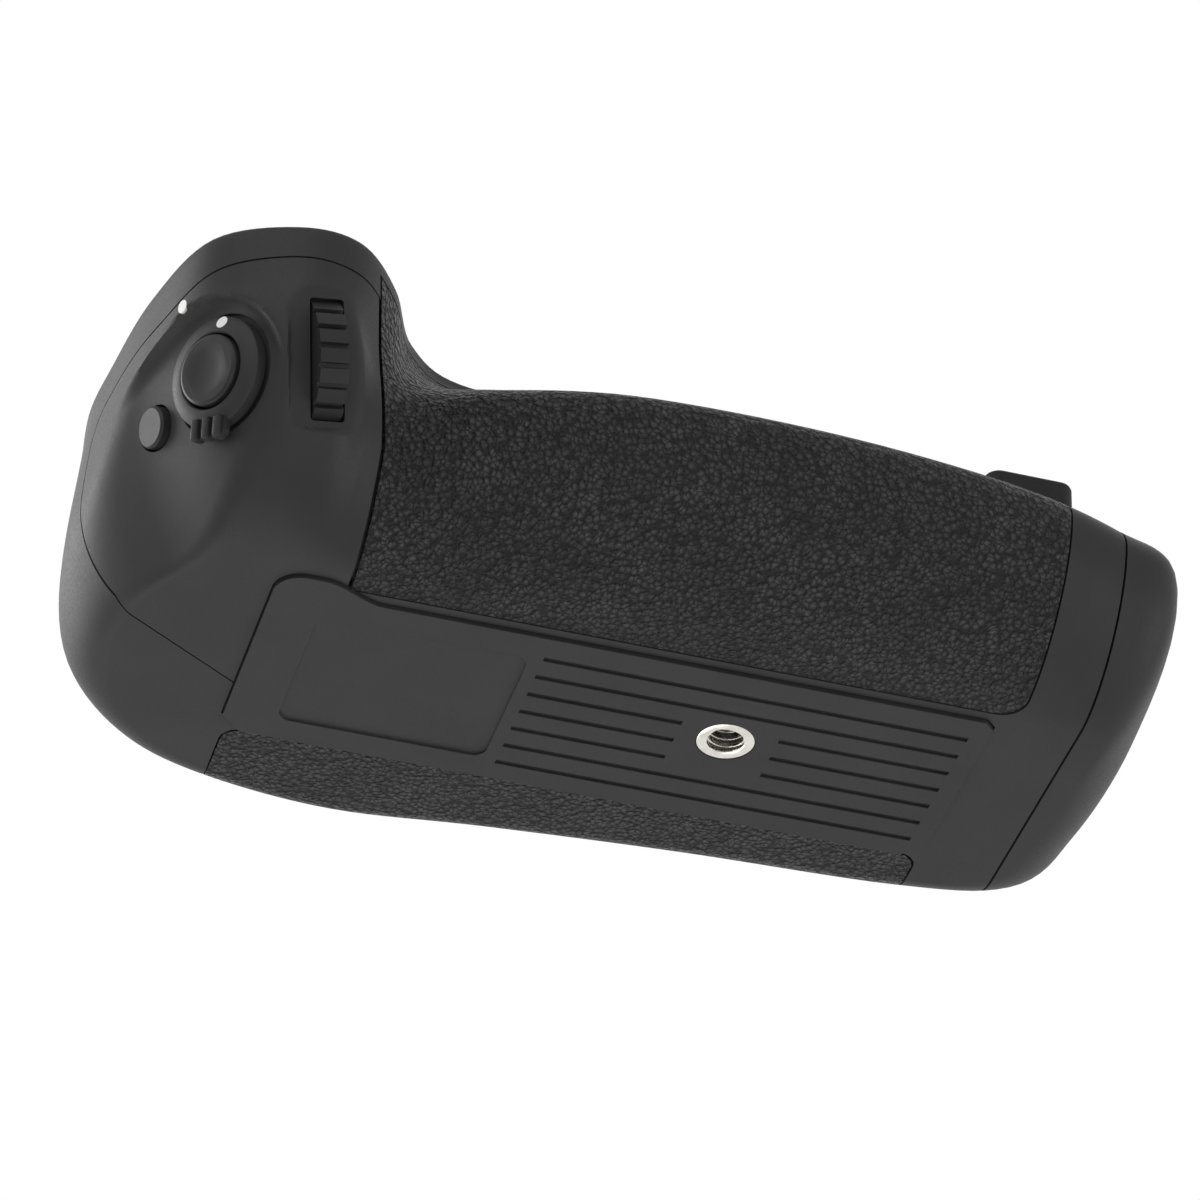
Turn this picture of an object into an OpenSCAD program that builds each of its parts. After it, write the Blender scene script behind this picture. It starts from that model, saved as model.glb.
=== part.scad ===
// Camera battery grip: a screw-on vertical grip with its own shutter release, dials and battery tray.
// Millimetres. Origin on the tripod socket's axis at the bottom plate, +X towards the tray end,
// -Y towards the finger grip at the front, +Z towards the camera that stands on the deck.

/* [Body] */
// height of the deck that the camera stands on
deck_h = 38; // [36:0.5:42]
// height by which the bottom plate stands out of the shell
plate_raise = 0.6; // [0.3:0.1:1]
// thickness of the shell's wall, with the rubber on it
wall = 3.2; // [2.8:0.1:4]
// thickness of the grip rubbers
rubber_t = 1.2; // [0.8:0.1:1.6]
// open seam round a cover or a rubber
seam = 0.15; // [0.05:0.05:0.3]
// thickness of the bottom plate
plate_t = 2; // [1.6:0.1:2.4]
// thickness of the deck
deck_t = 2; // [1.6:0.1:2.4]
// width of the rim round the deck
rim_w = 2; // [1.6:0.1:2.4]

/* [Fits] */
// radial running clearance of a pin in its hole
fit = 0.05; // [0.02:0.01:0.1]
// clearance between parts that move past each other
gap = 0.35; // [0.3:0.05:0.5]

/* [Tripod socket and camera screw] */
// radius of the tripod bush
bush_r = 4.15; // [4:0.05:5]
// inner radius of the tripod thread
bush_bore_r = 2.55; // [2.4:0.05:2.8]
// length of the tripod bush
bush_len = 5.8; // [5:0.1:6]
// radius of the camera screw's thread
screw_r = 3.175; // [3:0.025:3.3]
// height of the camera screw above the deck
screw_up = 5.2; // [4:0.1:6]

/* [Controls] */
// radius of the shutter button
shutter_r = 5; // [4.5:0.1:5.5]
// radius of the lock collar round the shutter button
collar_r = 7.85; // [7.4:0.05:8.4]
// press of the shutter button
shutter_press = 1; // [0.6:0.1:1.2]
// radius of the function button
function_r = 2.95; // [2.6:0.05:3.2]
// press of the small buttons
button_press = 0.7; // [0.5:0.1:0.8]
// radius of the two dials
dial_r = 10.6; // [10:0.1:11]
// width of the two dials
dial_w = 4.2; // [3.8:0.1:4.6]
// radius of the dials' axles
axle_r = 1.2; // [1:0.05:1.4]
// radius of the rear focus button
focus_r = 3.6; // [3.2:0.1:4]
// radius of the selector's pad
pad_r = 5.6; // [5:0.1:6]

/* [Attachment wheel] */
// radius of the attachment wheel
wheel_r = 14.3; // [13.8:0.1:14.8]
// teeth on each gear of the screw's drive
teeth = 20; // [20:1:20]
// module of the gear teeth
tooth_m = 0.8; // [0.8:0.05:0.8]

/* [Battery tray] */
// length of the battery that the tray takes
cell_l = 57; // [56:0.5:58]
// width of the battery that the tray takes
cell_w = 40.8; // [40:0.2:41]
// thickness of the tray's walls
tray_t = 1; // [0.8:0.1:1.2]
// thickness of the chamber's sheet walls
sleeve_t = 1; // [0.8:0.1:1.2]
// radius of the latch knob on the tray's cap
knob_r = 9.7; // [9:0.1:10.5]

/* [Hidden] */
$fn = 48;
big = 200;
shell_c = "#3f3f40";
rubber_c = "#2e2d2b";
dark_c = "#2a2a2b";
metal_c = "#c9c6bd";
gold_c = "#b8954a";
board_c = "#24452e";

// Rows of the body's outline, counter-clockwise from the rear:
// x and y of the bottom edge, of the widest line and of the top edge, then the widest line's height.
OUT = [
    [34, 25.2, 34, 31, 34, 29.8, 6],
    [2, 27.2, 2, 32.6, 2, 31.8, 6],
    [-26, 29.6, -26, 35.2, -26, 33.8, 6],
    [-48, 32.3, -48, 37.7, -48, 34.8, 6],
    [-66, 30, -67, 35.2, -67, 33.6, 6],
    [-77, 25, -80.5, 30.2, -80, 29.6, 7.5],
    [-84, 16, -90.6, 19.6, -89.6, 19.4, 10],
    [-86, 4, -94.3, 5, -93, 4, 14],
    [-83.5, -8, -93.2, -9, -92.2, -9.5, 18],
    [-78, -17, -89.8, -25, -90, -25.2, 24],
    [-73, -19.8, -84, -38.5, -85, -39.6, 27],
    [-69, -20.2, -74, -45.5, -74.3, -45.7, 28],
    [-66, -20.2, -66.2, -44.2, -65.4, -44.9, 26],
    [-62.5, -19.8, -60.6, -37.6, -58.7, -37, 21],
    [-57.5, -18.5, -54.5, -35, -53.6, -26, 19],
    [-48, -16.6, -44, -38.2, -45, -19.8, 21],
    [-26, -16.6, -26, -43.1, -26, -19.4, 21.2],
    [2, -16.6, 2, -44.4, 2, -19.4, 20.5],
    [28, -16.6, 29, -41.6, 28, -19.4, 20],
    [44, -16.6, 46, -36.8, 45, -18.8, 19],
    [50, -14, 56, -31, 55.4, -14, 17.5],
    [50, -2, 58, -8, 57.4, -2, 10],
    [49.4, 12, 57.4, 14, 57, 13, 9],
    [46, 21.8, 52.8, 26.6, 52, 25, 7],
];
n_out = len(OUT);
steps = 4;
low_steps = 6;
up_steps = 5;
nose_full = 0.47;
crown_full = 0.3;
edge_r = 0.8;

// a smooth closed curve through the rows
function curve(a, b, c, d, t) =
    b + 0.5 * t * ((c - a) + t * ((2 * a - 5 * b + 4 * c - d) + t * (3 * b - a - 3 * c + d)));
function row(i) = OUT[(i + n_out) % n_out];
RING = [for (i = [0 : n_out - 1], j = [0 : steps - 1])
    curve(row(i - 1), row(i), row(i + 1), row(i + 2), j / steps)];
n_ring = len(RING);
function at(i) = RING[(i + n_ring) % n_ring];
function xy(r, k) = [r[2 * k], r[2 * k + 1]];
function unit(v) = v / norm(v);
function away(t) = [t[1], -t[0]];
function outward(i, k) = away(unit(xy(at(i + 1), k) - xy(at(i - 1), k)));
OUTWARD = [for (i = [0 : n_ring - 1]) outward(i, 1)];
function out_at(i, k) = k >= low_steps ? OUTWARD[i]
    : unit(outward(i, 0) * (1 - k / low_steps) + OUTWARD[i] * k / low_steps);
function bezier(a, b, c, d, t) =
    a * pow(1 - t, 3) + b * 3 * t * pow(1 - t, 2) + c * 3 * t * t * (1 - t) + d * pow(t, 3);
function flat(v) = [v[0], v[1], 0];

// one point of the skin: level 0 is the bottom edge, the last level is the deck
n_level = low_steps + up_steps + 1;
function low_point(b, m, t) =
    bezier(b, b + flat(m - b) * nose_full, m - [0, 0, m[2] - b[2]] * nose_full, m, t);
function up_point(m, p, t) =
    bezier(m, m + [0, 0, p[2] - m[2]] * crown_full, p - [0, 0, p[2] - m[2]] * crown_full, p, t);
function skin(r, k) =
    let (b = [r[0], r[1], plate_raise], m = [r[2], r[3], r[6]], p = [r[4], r[5], deck_h - edge_r])
    k <= low_steps ? low_point(b, m, k / low_steps)
    : k < n_level ? up_point(m, p, (k - low_steps) / up_steps)
    : [r[4], r[5], deck_h];

// outline of the deck's edge, drawn in by w
function top_line(w) = [for (i = [0 : n_ring - 1]) xy(RING[i], 2) - w * OUTWARD[i]];

// facet that carries the shutter button: a point, a turn from -X to -Y and a dip below level
facet_at = [-81.6, -34, 19.3];
facet_turn = 33;
facet_dip = 15;
facet_bow = 58;
facet_wall = 2.4;
// scoop that the facet lies in: x, y and radius of its three corners, and the fillet of its wall
SCOOP = [[2.5, -1.5, 10.4], [8, -26, 10], [36, -14, 12]];
scoop_round = 3;
scoop_low = 1.2;
tab_turn = -14.6;
tab_out = 1.9;
// tilts of the function button about the middle of the facet's bow
function_tilt = [13.66, 1.58];
// front dial: where it stands on the skin, its turn and its dip
dial_at = [-68.1, -43.1, 18.5];
dial_turn = -11;
dial_dip = 24;
dial_spin = 14;
dial_deep = 1.7;
dial_out = 1.2;

// edges of the covers and rubbers
head_edge_x = -58.5;
head_lean_z = 12;
head_lean = 0.15;
head_edge_y = -4;
head_edge_z = deck_h - 5.4;
head_side_z = deck_h - 6.9;
head_fall_y = [-28, -43];
head_edge_r = 5;
head_low_x = -88;
head_low_slope = 0.64;
front_rubber_x = [-64, 37.6];
front_rubber_y = -17;
front_rubber_r = 4;
rear_rubber_x = [-67.5, 34.7];
rear_rubber_y = 18.9;
rear_rubber_z = 15;
rear_rubber_r = 3;
cap_x = 46.3;

// bottom plate, counter-clockwise from the rear right corner
plate_right = 34.6;
plate_rear = 18.6;
plate_front = -15.4;
plate_left = -68.3;
plate_hump_x = -64;
plate_hump_y = -18.6;
rib_first = -10.8;
rib_pitch = 4.21;
rib_n = 7;
rib_x = [-29.3, 31.9];
rib_w = 0.9;
rib_deep = 0.5;
rib_clear = 7;
label_x = [-61, -31.2];
label_y = [-10.5, 14];
label_r = 2;
label_deep = 0.4;

// heights inside the body
floor_z = plate_raise + wall;
ledge_z = deck_h - deck_t;
gear_z = ledge_z - 5;
sleeve_z = [6.4, gear_z - 0.7];
sleeve_y = [-22.6, 23.4];
sleeve_x = [-46, cap_x - wall + 0.7];
tray_y = [sleeve_y[0] + sleeve_t + gap, sleeve_y[1] - sleeve_t - gap];
tray_z = [sleeve_z[0] + sleeve_t + gap, sleeve_z[1] - sleeve_t - gap];
tray_in = -40;
end_plate_t = 1.6;
tray_end_z = gear_z - 1.4;
gear_t = 2.4;
wheel_z = gear_z + gear_t + 0.2;
wheel_t = 2.1;
wheel_at = [26, 18.5];
pitch_r = teeth * tooth_m / 2;
span = norm(wheel_at);
bow = sqrt(pow(2 * pitch_r, 2) - span * span / 4);
idler_at = wheel_at / 2 + bow * [-wheel_at[1], wheel_at[0]] / span;
pin_r = 1.5;
journal_r = screw_r + 0.4;

// rear controls
rear_z = 23;
rear_dial_x = -69;
rear_face = 35;
rear_in = rear_face - 9;
rear_dial_y = rear_face - dial_r;
focus_x = -55;
selector_x = -38;
pad_dish = 24;
rear_board_t = 1.2;
rear_board_x = [focus_x - 9, selector_x + 10];
rear_board_y = sleeve_y[1] + rear_board_t;
switch_t = 1.1;
board_deep = 8;
board_t = 1.2;
board_x = [-10.8, 11.4];
board_y = [-18.2, 0.4];
board_posts = [[board_x[0] + 1.2, board_x[1] - 1.2], [board_y[0] + 1.2, board_y[1] - 1.4]];
function_switch_at = [1, -12.8];
ear_y = dial_w / 2 + gap + 0.2;
ear_t = 1.3;

// latch on the tray's cap
latch_y = 2;
latch_z = 19;
knob_x = 56.4;
knob_t = 1.6;
shaft_r = 3;
lug_x = [49.2, 51];
striker_t = 1.2;
striker_z = [gear_z - 0.2, gear_z + 3];
lug_len = striker_z[1] - striker_t - 0.6 - latch_z;

// connector on the deck
post_x = [34.6, 45.4];
post_y = [-16, -7.6];
post_h = 4.4;
cap_t = 0.8;

// Shared shapes

// triangles joined into one body
module merged() resize([0, 0, 0]) children();

// the body's skin, drawn in by w on every side
module loft(w) {
    squeeze = (deck_h - plate_raise - 2 * w) / (deck_h - plate_raise);
    pts = [for (k = [0 : n_level], i = [0 : n_ring - 1])
        let (p = skin(RING[i], k), e = (w + (k == n_level ? edge_r : 0)) * out_at(i, k))
        [p[0] - e[0], p[1] - e[1], plate_raise + w + (p[2] - plate_raise) * squeeze]];
    sides = [for (k = [0 : n_level - 1], i = [0 : n_ring - 1])
        let (a = k * n_ring + i, b = k * n_ring + (i + 1) % n_ring)
        each [[a, a + n_ring, b], [b, a + n_ring, b + n_ring]]];
    ends = [[for (i = [0 : n_ring - 1]) i], [for (i = [n_ring - 1 : -1 : 0]) n_level * n_ring + i]];
    polyhedron(pts, concat(sides, ends), convexity = 8);
}

module block(x, y, z) translate([x[0], y[0], z[0]]) cube([x[1] - x[0], y[1] - y[0], z[1] - z[0]]);

module round_block(x, y, z, r)
    translate([0, 0, z[0]]) linear_extrude(z[1] - z[0]) round_rect(x, y, r);

module round_rect(x, y, r) {
    translate([x[0] + r, y[0]]) square([x[1] - x[0] - 2 * r, y[1] - y[0]]);
    translate([x[0], y[0] + r]) square([x[1] - x[0], y[1] - y[0] - 2 * r]);
    for (px = [x[0] + r, x[1] - r], py = [y[0] + r, y[1] - r]) translate([px, py]) circle(r);
}

module tube(r, h, z = 0) translate([0, 0, z]) cylinder(r = r, h = h);
module along_x(x, y, z, r, len) translate([x, y, z]) rotate([0, 90, 0]) cylinder(r = r, h = len);
module along_y(x, y, z, r, len) translate([x, y, z]) rotate([-90, 0, 0]) cylinder(r = r, h = len);

// local frame of the shutter facet: +Z out of the facet, +X down it
module on_facet() translate(facet_at) rotate([0, 90 + facet_dip, 180 + facet_turn]) children();
// local frame of the front dial: +Z out of the head, +Y along the axle
module on_dial() translate(dial_at) rotate([0, 90 + dial_dip, 270 - dial_turn])
    rotate([0, 0, dial_spin]) children();
dial_in = dial_r - dial_out;

// local frame of the function button, square to the bowed facet
module on_function() on_facet() translate([0, 0, -facet_bow]) rotate([function_tilt[0], 0, 0])
    rotate([0, function_tilt[1], 0]) translate([0, 0, facet_bow]) children();

// what the facet takes off the head: a scoop with a filleted wall over a bowed floor; d goes deeper
module facet_cut(d) on_facet() translate([0, 0, -d]) difference() {
    hull() for (c = SCOOP) translate([c[0], c[1], 0]) rotate_extrude() polygon(concat(
        [[0, big / 4], [0, -facet_bow / 2], [c[2], -facet_bow / 2]],
        [for (a = [0 : 15 : 90])
            [c[2] + scoop_round * sin(a), scoop_round * (1 - cos(a)) - scoop_low]],
        [[c[2] + scoop_round, big / 4]]));
    translate([0, 0, -facet_bow]) sphere(facet_bow, $fn = 72);
}

// space inside the walls
module cavity() difference() {
    loft(wall);
    facet_cut(facet_wall);
    on_dial() block([-11, 11], [-6.6, 6.6], [-wall - 1, big]);
}

// the region of the head's cover, in from its seam by s: its side, plan and front outlines crossed
module head_region(s) intersection() {
    translate([-big, 0, 0]) rotate([90, 0, 90]) linear_extrude(big) offset(delta = -s)
        polygon(concat([[-big, -2], [big, -2], [big, head_side_z - head_edge_r]],
            [for (a = [0 : 15 : 90]) [head_edge_y - head_edge_r, head_side_z - head_edge_r]
                + head_edge_r * [cos(a), sin(a)]],
            [for (t = [0 : 0.1 : 1]) [head_fall_y[0] + (head_fall_y[1] - head_fall_y[0]) * t,
                head_side_z + (head_edge_z - head_side_z) * (3 * t * t - 2 * t * t * t)]],
            [[-big, head_edge_z]]));
    translate([0, 0, -1]) linear_extrude(big) offset(delta = -s)
        polygon([[-big, -big], [0, -big], [0, head_edge_y - head_low_x * head_low_slope],
            [head_low_x, head_edge_y], [-big, head_edge_y]]);
    rotate([90, 0, 0]) linear_extrude(2 * big, center = true) offset(delta = -s)
        polygon([[-big, -2], [head_edge_x, -2], [head_edge_x, head_lean_z],
            [head_edge_x - (big - head_lean_z) * head_lean, big], [-big, big]]);
}

// the front rubber's left end runs up to the head's cover
module front_rubber_region(s) round_block(front_rubber_x + [s, -s], [-big, front_rubber_y - s],
    [-1, ledge_z - 0.4 - s], front_rubber_r);

module rear_rubber_region(s) round_block(rear_rubber_x + [s, -s], [rear_rubber_y + s, big],
    [-1, rear_rubber_z - s], rear_rubber_r);

module cap_region(s) block([cap_x + s, big], [-big, big], [-1, big]);

module plate_outline(s) offset(delta = -s) polygon(concat(
    [[plate_right, plate_rear - 3], [plate_right - 3, plate_rear]],
    [[plate_left + 3, plate_rear], [plate_left, plate_rear - 3]],
    [for (a = [180 : 15 : 270]) [plate_left + 4, plate_hump_y + 4] + 4 * [cos(a), sin(a)]],
    [for (t = [0 : 0.1 : 1]) [plate_hump_x + 2 + 9 * t,
        plate_hump_y + (plate_front - plate_hump_y) * (3 * t * t - 2 * t * t * t)]],
    [[plate_right - 1.5, plate_front], [plate_right, plate_front + 1.5]]
));

module post(x, y, z, len) translate([x, y, z]) cylinder(r = 2.2, h = len, $fn = 24);
screw_rings = [7, 28, 44, 62, 72];
function screw_at(i) = xy(RING[i], 2) - (rim_w + 2.6) * OUTWARD[i];

// Body

module main_shell() color(shell_c) difference() {
    merged() difference() {
        union() {
            difference() {
                loft(0);
                difference() {
                    cavity();
                    cap_region(sleeve_x[1] - cap_x);
                }
                head_region(0);
                cap_region(0);
                rubber_pockets();
                translate([0, 0, -1]) linear_extrude(plate_t + 1) plate_outline(-seam);
                translate([0, 0, ledge_z]) linear_extrude(big) polygon(top_line(rim_w - seam));
                translate([0, 0, floor_z + 8]) linear_extrude(big) polygon(top_line(rim_w + 3));
                block([sleeve_x[1] - 1, big], sleeve_y + [sleeve_t, -sleeve_t],
                    sleeve_z + [sleeve_t, -sleeve_t]);
                block(sleeve_x + [-fit, fit], sleeve_y + [-fit, fit], sleeve_z + [-fit, fit]);
            }
            intersection() {
                loft(0.5);
                union() {
                    for (i = screw_rings) post(screw_at(i)[0], screw_at(i)[1], ledge_z - 3.2, 3.2);
                    for (x = [-30, 24]) block([x, x + 2], [-15, 20], [floor_z - 1, sleeve_z[0]]);
                    for (x = [rear_dial_x - ear_y - ear_t, rear_dial_x + ear_y])
                        block([x, x + ear_t], [rear_dial_y - 3, rear_face + 1], [rear_z - 3, rear_z + 3]);
                }
            }
        }
        // rear openings: dial, focus button, selector and attachment wheel
        along_x(rear_dial_x - dial_w / 2 - gap, rear_dial_y, rear_z, dial_r + gap, dial_w + 2 * gap);
        translate([wheel_at[0], wheel_at[1], wheel_z - gap])
            cylinder(r = wheel_r + gap, h = wheel_t + 2 * gap);
        // pilot holes of the deck's screws
        for (i = screw_rings) translate(screw_at(i)) tube(1 + fit, 6, ledge_z - 5);
    }
    translate([0, 0, -1]) cylinder(r = bush_r + fit, h = floor_z + 2);
    along_x(rear_dial_x - ear_y - ear_t, rear_dial_y, rear_z, axle_r, 2 * (ear_y + ear_t));
    along_y(focus_x, rear_in, rear_z, focus_r + gap, 14);
    along_y(selector_x, rear_in, rear_z, 4.4, 14);
    along_y(selector_x, rear_face + 0.4, rear_z, pad_r + 1.2, 5);
}

// what the rubbers are let into
module rubber_pockets() difference() {
    union() {
        front_rubber_region(0);
        rear_rubber_region(0);
    }
    loft(rubber_t);
}

module front_grip_rubber() color(rubber_c) merged() intersection() {
    difference() {
        loft(0);
        loft(rubber_t);
    }
    difference() {
        front_rubber_region(seam);
        head_region(-seam);
        translate([0, 0, -1]) linear_extrude(plate_t + 1) plate_outline(-seam);
    }
}

module rear_grip_rubber() color(rubber_c) merged() intersection() {
    difference() {
        loft(0);
        loft(rubber_t);
    }
    rear_rubber_region(seam);
}

module head_cover() color(shell_c) difference() {
    merged() difference() {
        intersection() {
            union() {
                difference() {
                    loft(0);
                    cavity();
                    facet_cut(0);
                }
                // posts of the control board and ears of the front dial's axle
                intersection() {
                    loft(0.5);
                    difference() {
                        union() {
                            on_facet() for (x = board_posts[0], y = board_posts[1])
                                translate([x, y, -board_deep]) cylinder(r = 1.2, h = board_deep, $fn = 16);
                            on_dial() for (y = [-ear_y - ear_t, ear_y])
                                block([-3, 3], [y, y + ear_t], [-dial_in - 3, 0]);
                        }
                        facet_cut(1);
                    }
                }
            }
            head_region(seam);
        }
        translate([0, 0, -1]) linear_extrude(plate_t + 1) plate_outline(-seam);
        // the dial's dished surround and its slot
        on_dial() round_block([-10.3, 10.3], [-6, 6], [-dial_deep, big], 3);
        on_dial() block([-8.4, 8.4], [-dial_w / 2 - gap, dial_w / 2 + gap], [-wall - 2, big]);
        on_dial() translate([0, -dial_w / 2 - gap, -dial_in]) rotate([-90, 0, 0])
            cylinder(r = dial_r + gap, h = dial_w + 2 * gap);
    }
    on_facet() tube(collar_r + gap, 4, -0.8);
    on_facet() tube(collar_r - 1.3 + fit, 12, -6);
    on_facet() tube(collar_r + gap, 4, -facet_wall - 4.1);
    on_function() tube(function_r + gap, 12, -6);
    on_dial() translate([0, -ear_y - ear_t, -dial_in]) rotate([-90, 0, 0])
        cylinder(r = axle_r, h = 2 * (ear_y + ear_t));
}

module top_deck() color(shell_c) difference() {
    translate([0, 0, ledge_z]) linear_extrude(deck_t) intersection() {
        polygon(top_line(rim_w));
        translate([-big, -big]) square([big + cap_x, 2 * big]);
    }
    tube(journal_r + fit, 2 * deck_t, ledge_z - 1);
    for (i = screw_rings) translate(screw_at(i)) {
        tube(1.1, 2 * deck_t, ledge_z - 1);
        tube(2, deck_t, deck_h - 1.1);
    }
    for (p = [wheel_at, idler_at]) translate(p) tube(pin_r, deck_t, ledge_z - 1);
}

module bottom_plate() color(shell_c) difference() {
    linear_extrude(plate_t) plate_outline(0);
    tube(bush_r + fit, 2 * plate_t, -1);
    round_block(label_x, label_y, [-1, label_deep], label_r);
    for (i = [0 : rib_n - 1]) let (y = rib_first + i * rib_pitch) difference() {
        block(rib_x, [y - rib_w / 2, y + rib_w / 2], [-1, rib_deep]);
        if (i > 1 && i < rib_n - 2) block([-rib_clear, rib_clear], [y - rib_w, y + rib_w], [-2, 1]);
    }
}

module tripod_socket() color(metal_c) difference() {
    union() {
        tube(bush_r, bush_len);
        tube(bush_r + 2.2, 1.4, floor_z);
    }
    tube(bush_bore_r, bush_len + 2, -1);
}

// Battery chamber and boards

module chamber_sleeve() color(metal_c) difference() {
    block(sleeve_x, sleeve_y, sleeve_z);
    block(sleeve_x + [sleeve_t, 1], sleeve_y + [sleeve_t, -sleeve_t], sleeve_z + [sleeve_t, -sleeve_t]);
    tube(pin_r + fit, 4, sleeve_z[1] - 2);
    for (y = contact_y) block([sleeve_x[0] - 1, sleeve_x[0] + 2], [y - 1.5, y + 1.5], contact_z);
}
contact_y = [-12, -4, 4, 12];
contact_z = [14, 18];

module chamber_contacts() color(gold_c) for (y = contact_y)
    block([sleeve_x[0] - 1.2, tray_in - 1], [y - 1.5, y + 1.5], contact_z);

module main_board() color(board_c)
    block([sleeve_x[0] - 2.8, sleeve_x[0] - 1.2], [-18, 18], [sleeve_z[0] + 1.6, sleeve_z[1] - 1.3]);

module control_board() color(board_c) on_facet() block(board_x, board_y,
    [-board_deep - board_t, -board_deep]);

module shutter_switch() color(dark_c) on_facet()
    block([-3, 3], [-3, board_y[1]], [-board_deep, -board_deep + switch_t]);

module function_switch() color(dark_c) on_facet() translate(function_switch_at)
    block([-2.2, 2.2], [-2.2, 2.2], [-board_deep, -board_deep + switch_t]);

// Shutter end controls

module shutter_button() color(dark_c) on_facet() difference() {
    union() {
        tube(shutter_r, 4, -1.6);
        tube(1.4, board_deep - switch_t - shutter_press - 1.2, -board_deep + switch_t + shutter_press + 0.2);
    }
    translate([0, 0, 22.1]) sphere(r = 20, $fn = 64);
}

module lock_collar() color(shell_c) on_facet() difference() {
    union() {
        tube(collar_r, 2.4, -0.8 + 0.05);
        tube(collar_r - 1.3, 2.9, -3.6);
        rotate([0, 0, tab_turn]) for (a = [-2.1, 0, 2.1])
            block([collar_r - 0.8, collar_r + tab_out], [a - 0.75, a + 0.75], [0.3, 2.3]);
        rotate([0, 0, tab_turn]) block([collar_r - 0.8, collar_r + tab_out - 0.4], [-2.85, 2.85], [0.3, 1.6]);
    }
    tube(shutter_r + gap, 12, -5);
}

module collar_clip() color(metal_c) on_facet() difference() {
    tube(collar_r, 0.7, -facet_wall - 0.1 - fit - 0.7);
    tube(collar_r - 1.3, 4, -facet_wall - 2);
}

module function_button() color(dark_c) on_function() {
    tube(function_r, 4, -3);
    tube(function_r + 0.9, 0.7, -facet_wall - gap - 0.7);
    tube(1.2, 1.3, -facet_wall - gap - 1.4);
}

// Dials

module dial_disc() difference() {
    linear_extrude(dial_w, center = true)
        polygon([for (i = [0 : 95]) (dial_r - (i % 4 < 2 ? 0 : 0.7)) * [cos(i * 3.75), sin(i * 3.75)]]);
    cylinder(r = axle_r + fit, h = 2 * dial_w, center = true);
}

module front_dial_axle() color(metal_c) on_dial()
    translate([0, -ear_y - ear_t, -dial_in]) rotate([-90, 0, 0]) cylinder(r = axle_r, h = 2 * (ear_y + ear_t));

module front_dial() color(dark_c) on_dial() translate([0, 0, -dial_in]) rotate([90, 0, 0]) dial_disc();

module rear_dial_axle() color(metal_c) along_x(rear_dial_x - ear_y - ear_t,
    rear_dial_y, rear_z, axle_r, 2 * (ear_y + ear_t));

module rear_dial() color(dark_c) translate([rear_dial_x, rear_dial_y, rear_z]) rotate([0, 90, 0]) dial_disc();

// Rear controls

module rear_board() color(board_c) block(rear_board_x, [sleeve_y[1], rear_board_y], [rear_z - 11, rear_z + 6]);

module focus_switch() color(dark_c)
    block([focus_x - 3, focus_x + 3], [rear_board_y, rear_board_y + switch_t], [rear_z - 3, rear_z + 3]);

module focus_button() color(dark_c) {
    inner = rear_board_y + switch_t + button_press + 0.2;
    along_y(focus_x, inner, rear_z, 1.6, 8);
    along_y(focus_x, rear_face - 5, rear_z, focus_r, 7.2);
}

selector_y = rear_board_y + 3.4;
module selector_base() color(dark_c) difference() {
    union() {
        block([selector_x - 8, selector_x + 8], [rear_board_y, rear_board_y + 0.8], [rear_z - 7, rear_z + 7]);
        for (x = [selector_x - 8, selector_x + 6.4])
            block([x, x + 1.6], [rear_board_y, selector_y + 1.6], [rear_z - 2.2, rear_z + 2.2]);
    }
    along_x(selector_x - 9, selector_y, rear_z, 0.8 + fit, 18);
}

module selector_rocker() color(metal_c) difference() {
    union() {
        along_y(selector_x, selector_y - 1, rear_z, 5.4, 2);
        along_x(selector_x - 7.8, selector_y, rear_z, 0.8, 15.6);
    }
    along_y(selector_x, selector_y - 2, rear_z, 3.7, 4);
    translate([selector_x, selector_y, rear_z - 9]) tube(0.7 + fit, 18);
}

module selector_pad() color(dark_c) {
    along_y(selector_x, selector_y - 1.2, rear_z, 2.6, 10.2);
    translate([selector_x, selector_y, rear_z - 5.2]) tube(0.7, 10.4);
    difference() {
        along_y(selector_x, rear_face + 1.4, rear_z, pad_r, 1.8);
        translate([selector_x, rear_face + 2.8 + pad_dish, rear_z]) sphere(r = pad_dish, $fn = 64);
    }
}

// Drive of the camera screw

module gear(turn) rotate([0, 0, turn]) linear_extrude(gear_t) polygon([for (i = [0 : teeth - 1])
    each concat([for (r = flank_r) polar(r, i * 360 / teeth - half_tooth(r))],
        [for (j = [len(flank_r) - 1 : -1 : 0]) polar(flank_r[j], i * 360 / teeth + half_tooth(flank_r[j]))])]);
pressure = 20;
base_r = pitch_r * cos(pressure);
flank_r = [pitch_r - 1.2 * tooth_m, base_r + 0.05, pitch_r, pitch_r + 0.45 * tooth_m, pitch_r + 0.9 * tooth_m];
play = 0.94;
function polar(r, a) = r * [cos(a), sin(a)];
function involute(a) = tan(a) * 180 / PI - a;
function half_tooth(r) = 90 / teeth * play + involute(pressure) - involute(acos(min(1, base_r / r)));
function bearing(a, b) = atan2(b[1] - a[1], b[0] - a[0]);
function meshed(turn, line) = 2 * line + 180 - turn + 180 / teeth;
idler_turn = meshed(0, bearing([0, 0], idler_at));
wheel_turn = meshed(idler_turn, bearing(idler_at, wheel_at));

module gear_axles() color(metal_c) for (p = [wheel_at, idler_at]) translate(p) {
    tube(pin_r, deck_h - 1 - sleeve_z[1], sleeve_z[1]);
}

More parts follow.
